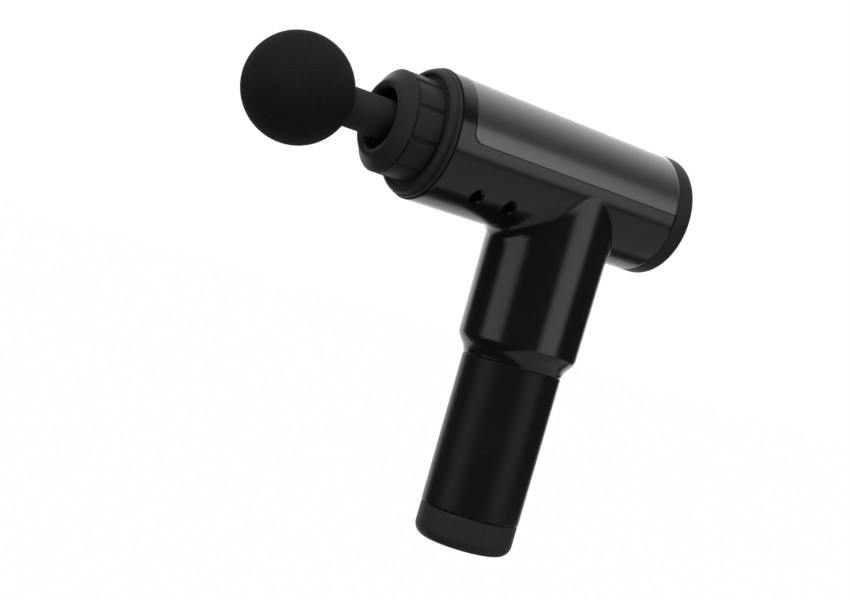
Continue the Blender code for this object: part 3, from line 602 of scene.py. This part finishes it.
def screw_well(node, shell):
    """The cutter and the cup of one screw's well, as grids. A point at the radius r and the angle a round
    the screw goes to (x + r cos a, side * d, z + r sin a). Where the last value of its row is 0, d is the
    row's second value, and where it is 1, that value is a depth under the barrel's surface, of radius R and
    at the height h above the axis: d = sqrt((R - depth)^2 - h^2)."""
    x, z = (low(node, "x") + high(node, "x")) / 2, (low(node, "z") + high(node, "z")) / 2
    side = -1 if low(node, "y") < 0 else 1
    turn = np.linspace(0, 2 * np.pi, 40, endpoint=False)
    well = shell["well"]
    rim, wall = well + 0.9, well + 1.5
    cutter = [(0, 14, 0), (well, 14, 0), (well, 0.7, 1), (rim, -0.2, 1), (rim, 40, 0), (0, 40, 0)]
    cup = [(0, 11.6, 0), (well - 0.05, 11.6, 0), (well, 11.65, 0), (well, 1, 1), (wall, 1, 1), (wall, 9.3, 0),
           (0, 9.3, 0)]
    grids = []
    for rows in (cutter, cup):
        radius, value, follows = np.asarray(rows, float).T[:, :, None]
        height = z + radius * np.sin(turn) - AXIS
        surface = np.sqrt(np.maximum((barrel_radius(x, shell) - value) ** 2 - height ** 2, 0))
        away = side * np.where(follows > 0, surface, value)
        points = np.stack(np.broadcast_arrays(x + radius * np.cos(turn), away, z + radius * np.sin(turn)), -1)
        grids.append((points, False, True))
    return grids


class GUN_OT_housing(bpy.types.Operator):
    """Builds the one-piece housing: barrel, blended neck, shoulder and screw wells"""

    bl_idname = "massage_gun.housing"
    bl_label = "Main housing"

    def execute(self, context):
        shell = sizes(context.scene.gun_shell)
        skin, hoop_x = housing_skin(shell)
        housing = new_object(mesh_of("housing_shell", (skin, False, True),
                                     (housing_hoop(hoop_x, shell), False, False)))
        thicken(housing, shell["wall"], shell["edge"])
        cutters, cups = zip(*[screw_well(f"housing_screw_{number}", shell) for number in (1, 2, 3, 4)])
        carve(housing, mesh_of("wells", *cutters))
        joined = bmesh.new()
        joined.from_mesh(housing.data)
        joined.from_mesh(mesh_of("cups", *cups))
        joined.to_mesh(housing.data)
        joined.free()
        keep(housing, "housing", "gloss_housing", ["main_housing"])
        return {"FINISHED"}


class GUN_OT_cover(bpy.types.Operator):
    """Builds the graphite cover over the barrel's upper half"""

    bl_idname = "massage_gun.cover"
    bl_label = "Top cover"

    def execute(self, context):
        shell = sizes(context.scene.gun_shell)
        turn, radius = upper_turns(shell["seam"], shell)
        height = -radius * np.cos(turn) - shell["seam"]
        front = COVER_FRONT + corner_front(height, shell["corner"])
        part = np.linspace(0, 1, 100)
        grid = on_barrel(front[:, None] + (BARREL_REAR - front[:, None]) * part, turn[:, None], shell)
        cover = new_object(mesh_of("graphite_cover", (grid, False, False)))
        thicken(cover, shell["wall"] - 0.2, shell["edge"])
        keep(cover, "housing", "cover", ["top_cover"])
        return {"FINISHED"}


# ---- Nose --------------------------------------------------------------------------------------
def notched_collar(nose):
    """The collar's closed profile turned round the axis. Over the pads' length the radius is the groove's
    plus the pad height times a wave that is 1 on a pad and falls smoothly to 0 in the middle of a notch."""
    groove, pad, mouth = nose["groove_radius"], nose["pad_height"], nose["mouth_radius"]
    rear, front = high("nose_collar", "x"), low("nose_collar", "x")
    body = [(groove, -89.75, 0), (groove, -90.0, 0), (groove, -90.25, 0.55), (groove, -90.6, 0.9),
            (groove, -91.2, 1), (groove, -96, 1), (groove, -101, 1), (groove, -103.4, 1),
            (groove, -103.9, 0.9), (groove, -104.2, 0.55), (groove, -104.4, 0), (groove, -104.75, 0),
            (groove + 0.6, -104.85, 0), (groove + 0.95, -105.0, 0), (groove + 1.1, -105.3, 0),
            (groove + 1.05, -105.7, 0), (groove + 0.7, -106.1, 0), (22.4, -107.3, 0), (20.0, -109.3, 0),
            (19.0, front + 0.7, 0), (18.4, front + 0.2, 0), (17.7, front, 0), (16.6, front, 0),
            (mouth + 0.9, front + 0.3, 0), (mouth + 0.25, front + 1.1, 0), (mouth, front + 2, 0),
            (mouth, front + 4.5, 0), (20.3, -103.5, 0), (20.3, -94.0, 0), (18.0, -92.0, 0),
            (18.0, rear - 0.1, 0), (18.1, rear, 0), (20.2, rear, 0), (20.3, rear - 0.1, 0)]
    radius, along, raised = np.asarray(body).T[:, :, None]
    turn = np.linspace(0, 2 * np.pi, 720, endpoint=False)[None]
    pitch = 2 * np.pi / nose["pads"]
    away = np.abs((turn - nose["first_gap"] + pitch / 2) % pitch - pitch / 2)
    rise = np.clip((away - 0.12 * nose["gap"]) / (0.42 * nose["gap"]), 0, 1)
    radius = radius + raised * pad * rise * rise * (3 - 2 * rise)
    return np.stack(np.broadcast_arrays(along, -radius * np.cos(turn), AXIS + radius * np.sin(turn)), -1)


class GUN_OT_nose(bpy.types.Operator):
    """Builds the nose ring with its seal and the collar with its grip pads"""

    bl_idname = "massage_gun.nose"
    bl_label = "Nose"

    def execute(self, context):
        nose = sizes(context.scene.gun_nose)
        ring = [(31.5, -85.35), (31.2, -87.3), (29.7, -87.3), (29.7, -88.4), (30.6, -88.4), (30.0, -89.6),
                (28.6, -90.5), (27.4, -90.3), (27.1, -89.3), (20.6, -89.3), (20.6, -80.5), (28.9, -80.5),
                (28.9, -85.35)]
        reach = (0.3, 0.3, 0.1, 0.1, 0.3, 0.8, 0.7, 0.4, 0.3, 0.2, 0.1, 0.1, 0.1)
        simple_piece("nose_band", round_barrel(softened(ring, reach), 200), "housing", "matte_trim",
                     "nose_ring")
        section = np.linspace(0, 2 * np.pi, 20, endpoint=False)
        seal = np.stack([30.35 + 0.42 * np.cos(section), -87.85 + 0.42 * np.sin(section)], 1)
        simple_piece("nose_gasket", round_barrel(seal, 200), "housing", "seal", "nose_seal")
        simple_piece("notched_collar", notched_collar(nose), "housing", "matte_trim", "nose_collar")
        return {"FINISHED"}


# ---- Rear --------------------------------------------------------------------------------------
class GUN_OT_rear(bpy.types.Operator):
    """Builds the rear cap, its smoked lens and the push button"""

    bl_idname = "massage_gun.rear"
    bl_label = "Rear"

    def execute(self, context):
        cap = [(31.0, 49.7), (31.0, 57.4), (30.2, 59.4), (28.6, 60.0), (25.9, 60.0), (25.4, 59.5),
               (25.4, 57.4), (22.5, 57.4), (22.5, 51.5), (26.0, 51.5), (26.0, 44.0), (28.2, 44.0),
               (28.2, 49.7)]
        reach = (0.25, 1.2, 0.9, 0.8, 0.3, 0.3, 0.1, 0.1, 0.1, 0.1, 0.1, 0.1, 0.1)
        simple_piece("end_cap", round_barrel(softened(cap, reach), 200), "housing", "matte_trim", "rear_cap")
        lens = [(6.4, 59.45), (24.4, 59.45), (25.0, 58.9), (25.0, 57.75), (6.4, 57.75)]
        simple_piece("smoked_lens", round_barrel(softened(lens, 0.3)), "housing", "lens", "control_lens")
        button = [(0, 60.0), (2.5, 60.05), (4.6, 60.28), (5.5, 60.25), (5.95, 59.8), (6.0, 57.4), (7.4, 57.4),
                  (7.4, 56.6), (0, 56.6)]
        simple_piece("push_button", round_barrel(button, 96), "button", "matte_trim", "level_button", False)
        return {"FINISHED"}


# ---- Handle ------------------------------------------------------------------------------------
class GUN_OT_handle(bpy.types.Operator):
    """Builds the soft grip sleeve and the base cap with its openings"""

    bl_idname = "massage_gun.handle"
    bl_label = "Handle"

    def execute(self, context):
        bottom, top = low("grip_sleeve", "z"), high("grip_sleeve", "z")
        sleeve = [(23.85, bottom), (24.7, bottom), (24.98, bottom + 0.8), (25.05, bottom + 20),
                  (25.2, top - 1.2), (25.0, top), (23.85, top)]
        simple_piece("soft_sleeve", round_handle(softened(sleeve, (0.1, 0.4, 0.8, 4, 0.6, 0.3, 0.1)), 200),
                     "housing", "grip", "grip_sleeve")
        edge = np.linspace(-np.pi / 2, 0, 19)
        outer = np.stack([18.3 + 6.5 * np.cos(edge), 6.5 + 6.5 * np.sin(edge)], 1)
        inner = [(24.8, 16.2), (24.6, 16.5), (20.7, 16.5), (20.7, 19.8), (18.6, 19.8), (18.6, 10.0),
                 (0, 10.0)]
        base = new_object(mesh_of("base_end", (round_handle(np.vstack([[(0, 0)], outer, inner]), 200), False,
                                               True)))
        cutters = []
        for node, hole, depth in (("charge_socket", 4.5, 12), ("charge_light", 1.5, 12),
                                  ("base_screw_1", 2.9, 3.2), ("base_screw_2", 2.9, 3.2)):
            centre = np.array([(low(node, a) + high(node, a)) / 2 for a in "xy"] + [0])
            profile = [(0, -1), (hole + 1.6, -1), (hole + 0.6, -0.2), (hole + 0.2, 0.12), (hole, 0.5),
                       (hole, depth), (0, depth)]
            cutters.append((round_handle(profile, 48) + centre, False, True))
        rocker = np.array([(low("power_rocker", a) + high("power_rocker", a)) / 2 for a in "xy"] + [0])
        slot = softened([(5.3, 3.9), (-5.3, 3.9), (-5.3, -3.9), (5.3, -3.9)], 0.4)
        flat = np.column_stack([slot, np.zeros(len(slot))])
        level = np.array([-1.0, -1.0, 12.0, 12.0])[:, None, None] * np.array([0, 0, 1])
        grow = np.array([0, 1, 1, 0])[:, None, None]
        cutters.append((flat * grow + level + rocker, False, True))
        carve(base, mesh_of("openings", *cutters))
        keep(base, "housing", "matte_trim", ["base_cap"])
        return {"FINISHED"}


# ---- Head --------------------------------------------------------------------------------------
class GUN_OT_head(bpy.types.Operator):
    """Builds the foam ball and the stem it sits on"""

    bl_idname = "massage_gun.head"
    bl_label = "Ball head"

    def execute(self, context):
        head = sizes(context.scene.gun_head)
        radius, stem = head["ball_radius"], head["stem_radius"]
        centre = BALL_FRONT + radius
        meet = math.asin((stem + 0.4) / radius)
        angle = np.linspace(np.pi, meet, 120)
        ball = np.stack([radius * np.sin(angle), centre + radius * np.cos(angle)], 1)
        ball[0, 0] = 0
        socket = [(stem + 0.1, ball[-1, 1] + 0.1), (7.35, ball[-1, 1] + 0.1), (7.35, -146.4), (0, -146.4)]
        foam = simple_piece("foam_ball", round_barrel(np.vstack([ball, socket]), 200), "head", "foam",
                            "head_ball", False)
        spigot = head["spigot_radius"]
        rod = [(0, -146.0), (7.0, -146.0), (7.0, -129.4), (stem - 0.3, -129.4), (stem, -129.1),
               (stem, -102.4), (stem - 0.3, -101.7), (stem - 0.9, -101.4), (spigot, -101.4)]
        for groove in (-94.0, -84.0):
            rod += [(spigot, groove - 1.1), (spigot - 1.2, groove - 1.1), (spigot - 1.2, groove + 1.1),
                    (spigot, groove + 1.1)]
        rod += [(spigot, -76.6), (spigot - 0.3, -75.9), (spigot - 0.9, -75.6), (0, -75.6)]
        simple_piece("head_shank", round_barrel(rod, 120), "head", "head_plastic", "head_stem", False)
        for number, x in ((1, -94.0), (2, -84.0)):
            section = np.linspace(0, 2 * np.pi, 16, endpoint=False)
            ring = np.stack([spigot - 0.3 + 0.75 * np.cos(section), x + 0.75 * np.sin(section)], 1)
            simple_piece(f"spigot_ring_{number}", round_barrel(ring, 96), "head", "seal",
                         f"stem_ring_{number}")
        return {"FINISHED"}


# ---- Stage -------------------------------------------------------------------------------------
def smooth_step(tree, value, start, end):
    node = tree.nodes.new("ShaderNodeMapRange")
    node.interpolation_type = "SMOOTHSTEP"
    node.inputs["From Min"].default_value = start
    node.inputs["From Max"].default_value = end
    tree.links.new(value, node.inputs["Value"])
    return node.outputs["Result"]


def soft_panel(tree, direction, azimuth, half_width, low_z, high_z, blur=8.0):
    """Brightness of a softbox by direction: 1 inside the given azimuths, measured in degrees from -Y
    towards +X, and between two sines of elevation, falling off smoothly at its edges."""
    flat = tree.nodes.new("ShaderNodeVectorMath")
    flat.operation = "MULTIPLY"
    flat.inputs[1].default_value = (1, 1, 0)
    tree.links.new(direction, flat.inputs[0])
    unit = tree.nodes.new("ShaderNodeVectorMath")
    unit.operation = "NORMALIZE"
    tree.links.new(flat.outputs[0], unit.inputs[0])
    facing = tree.nodes.new("ShaderNodeVectorMath")
    facing.operation = "DOT_PRODUCT"
    middle = math.radians(azimuth)
    facing.inputs[1].default_value = (math.sin(middle), -math.cos(middle), 0)
    tree.links.new(unit.outputs[0], facing.inputs[0])
    parts = tree.nodes.new("ShaderNodeSeparateXYZ")
    tree.links.new(direction, parts.inputs[0])

    across = smooth_step(tree, facing.outputs["Value"], math.cos(math.radians(half_width + blur)),
                         math.cos(math.radians(half_width - blur)))
    above = smooth_step(tree, parts.outputs["Z"], low_z - 0.05, low_z + 0.05)
    below = smooth_step(tree, parts.outputs["Z"], high_z + 0.06, high_z - 0.06)
    return calculate(tree, "MULTIPLY", calculate(tree, "MULTIPLY", across, above), below)


class GUN_OT_stage(bpy.types.Operator):
    """Sets up the camera, the plain pale floor and the soft studio light"""

    bl_idname = "massage_gun.stage"
    bl_label = "Stage"

    def execute(self, context):
        own = context.scene.gun_stage
        self.camera(context, own)
        self.light(context, own)
        self.floor(own)
        self.card()
        return {"FINISHED"}

    def camera(self, context, own):
        camera = bpy.data.objects.new("camera", bpy.data.cameras.new("camera"))
        context.scene.collection.objects.link(camera)
        ahead = Vector((math.sin(own.yaw) * math.cos(own.pitch), math.cos(own.yaw) * math.cos(own.pitch),
                        math.sin(own.pitch)))
        right = Vector((math.cos(own.yaw), -math.sin(own.yaw), 0))
        up = right.cross(ahead)
        rolled = math.cos(own.roll) * right + math.sin(own.roll) * up
        upright = -math.sin(own.roll) * right + math.cos(own.roll) * up
        turned = Matrix((rolled, upright, -ahead)).transposed().to_4x4()
        camera.matrix_world = Matrix.Translation(Vector(own.eye)) @ turned
        camera.data.sensor_width = 36
        camera.data.lens = own.lens
        camera.data.clip_start = 0.01
        context.scene.camera = camera

    def light(self, context, own):
        world = bpy.data.worlds.new("studio")
        world.use_nodes = True
        context.scene.world = world
        context.scene.view_settings.view_transform = "Standard"
        tree = world.node_tree
        tree.nodes.clear()
        direction = tree.nodes.new("ShaderNodeTexCoord").outputs["Generated"]
        behind = tree.nodes.new("ShaderNodeVectorMath")
        behind.operation = "DOT_PRODUCT"
        behind.inputs[1].default_value = (0.3, 0.75, 0.6)
        tree.links.new(direction, behind.inputs[0])
        ceiling = smooth_step(tree, behind.outputs["Value"], 0.15, 1.0)
        parts = tree.nodes.new("ShaderNodeSeparateXYZ")
        tree.links.new(direction, parts.inputs[0])
        ceiling = calculate(tree, "MULTIPLY", ceiling, smooth_step(tree, parts.outputs["Z"], 0.1, 0.4))
        total = 0.03  # the dim rest of the room
        for brightness, mask in (
                (own.overhead, ceiling),
                (own.backdrop, soft_panel(tree, direction, 156, 35, -1.0, 0.45)),
                (own.left_box, soft_panel(tree, direction, -91, 18, -0.4, 0.6)),
                (own.right_box, soft_panel(tree, direction, 24.5, 17.5, -0.17, 0.5)),
                (own.key_box, soft_panel(tree, direction, -50, 45, 0.72, 0.97))):
            total = calculate(tree, "ADD", total, calculate(tree, "MULTIPLY", mask, brightness))
        path = tree.nodes.new("ShaderNodeLightPath")
        seen = path.outputs["Is Camera Ray"]
        # Matt surfaces get a flatter light than the reflections show, and the camera sees plain white.
        spread = path.outputs["Is Diffuse Ray"]
        share_left = calculate(tree, "SUBTRACT", 1.0, calculate(tree, "MULTIPLY", spread, 0.6))
        total = calculate(tree, "MULTIPLY", total, share_left)
        total = calculate(tree, "ADD", total, calculate(tree, "MULTIPLY", spread, own.fill))
        room = calculate(tree, "MULTIPLY", total, calculate(tree, "SUBTRACT", 1.0, seen))
        glow = tree.nodes.new("ShaderNodeBackground")
        glow.inputs["Color"].default_value = (1, 1, 1, 1)
        tree.links.new(calculate(tree, "ADD", room, seen), glow.inputs["Strength"])
        out = tree.nodes.new("ShaderNodeOutputWorld")
        tree.links.new(glow.outputs[0], out.inputs["Surface"])

    def floor(self, own):
        """A wide pale disc, by radius and angle on a grid, that only the camera sees."""
        radius = np.array([0, 1, 4, 12])[:, None] / MM
        turn = np.linspace(0, 2 * np.pi, 96, endpoint=False)[None]
        grid = np.stack(np.broadcast_arrays(radius * np.cos(turn), radius * np.sin(turn), -0.05), -1)
        floor = new_object(mesh_of("floor", (grid, False, True)))
        level = self.glow(floor, "pale_floor")
        level.default_value = (*own.floor, 1)
        floor.visible_diffuse = floor.visible_glossy = floor.visible_shadow = False

    def card(self):
        """A bounce card under the gun, by x and y on a grid, that only its reflections show. Along Y it has
        a soft band, a dark gap and a bright part at the back."""
        x, y = np.meshgrid(np.linspace(-100, 1000, 3), np.linspace(-1100, 1000, 5))
        card = new_object(mesh_of("bounce_card", (np.stack([x, y, 0 * x - 150], -1), False, False)))
        level = self.glow(card, "bounce_card")
        tree = card.data.materials[0].node_tree
        place = tree.nodes.new("ShaderNodeTexCoord")
        parts = tree.nodes.new("ShaderNodeSeparateXYZ")
        tree.links.new(place.outputs["Object"], parts.inputs[0])
        spread = tree.nodes.new("ShaderNodeMapRange")
        spread.inputs["From Min"].default_value = -1.1
        spread.inputs["From Max"].default_value = 1.0
        tree.links.new(parts.outputs["Y"], spread.inputs["Value"])
        ramp = tree.nodes.new("ShaderNodeValToRGB")
        tree.links.new(spread.outputs["Result"], ramp.inputs["Fac"])
        stops = ramp.color_ramp.elements
        stops[0].position, stops[0].color = 0.024, (0.03, 0.03, 0.03, 1)
        stops[1].position, stops[1].color = 0.071, (0.45, 0.45, 0.45, 1)
        for position, shade in ((0.524, 0.45), (0.543, 0.06), (0.595, 0.06), (0.638, 1.0)):
            stops.new(position).color = (shade, shade, shade, 1)
        tree.links.new(ramp.outputs["Color"], level)
        card.visible_camera = card.visible_diffuse = card.visible_shadow = False

    def glow(self, obj, name):
        """Gives the object a material that only glows, and returns its colour socket."""
        material = bpy.data.materials.new(name)
        material.use_nodes = True
        tree = material.node_tree
        tree.nodes.remove(tree.nodes["Principled BSDF"])
        emission = tree.nodes.new("ShaderNodeEmission")
        tree.links.new(emission.outputs[0], tree.nodes["Material Output"].inputs["Surface"])
        obj.data.materials.append(material)
        return emission.inputs["Color"]


class GUN_PT_panel(bpy.types.Panel):
    """Lists the builders and the sizes they read"""

    bl_label = "Massage gun"
    bl_idname = "GUN_PT_panel"
    bl_space_type = "VIEW_3D"
    bl_region_type = "UI"
    bl_category = "Massage gun"

    def draw(self, context):
        for operator in OPERATORS:
            self.layout.operator(operator.bl_idname)
        for name, group in GROUPS.items():
            box = self.layout.box()
            for key in group.__annotations__:
                box.prop(getattr(context.scene, name), key)


GROUPS = {"gun_shell": GunShell, "gun_nose": GunNose, "gun_head": GunHead, "gun_finish": GunFinish,
          "gun_stage": GunStage}
OPERATORS = (GUN_OT_stage, GUN_OT_finishes, GUN_OT_housing, GUN_OT_cover, GUN_OT_nose, GUN_OT_rear,
             GUN_OT_handle, GUN_OT_head)


def register():
    for made in (*GROUPS.values(), *OPERATORS, GUN_PT_panel):
        bpy.utils.register_class(made)
    for name, group in GROUPS.items():
        setattr(bpy.types.Scene, name, bpy.props.PointerProperty(type=group))


def unregister():
    for name in GROUPS:
        delattr(bpy.types.Scene, name)
    for made in (GUN_PT_panel, *OPERATORS, *GROUPS.values()):
        bpy.utils.unregister_class(made)


def main():
    register()
    for operator in OPERATORS:
        package, name = operator.bl_idname.split(".")
        getattr(getattr(bpy.ops, package), name)()


if __name__ == "__main__":
    main()
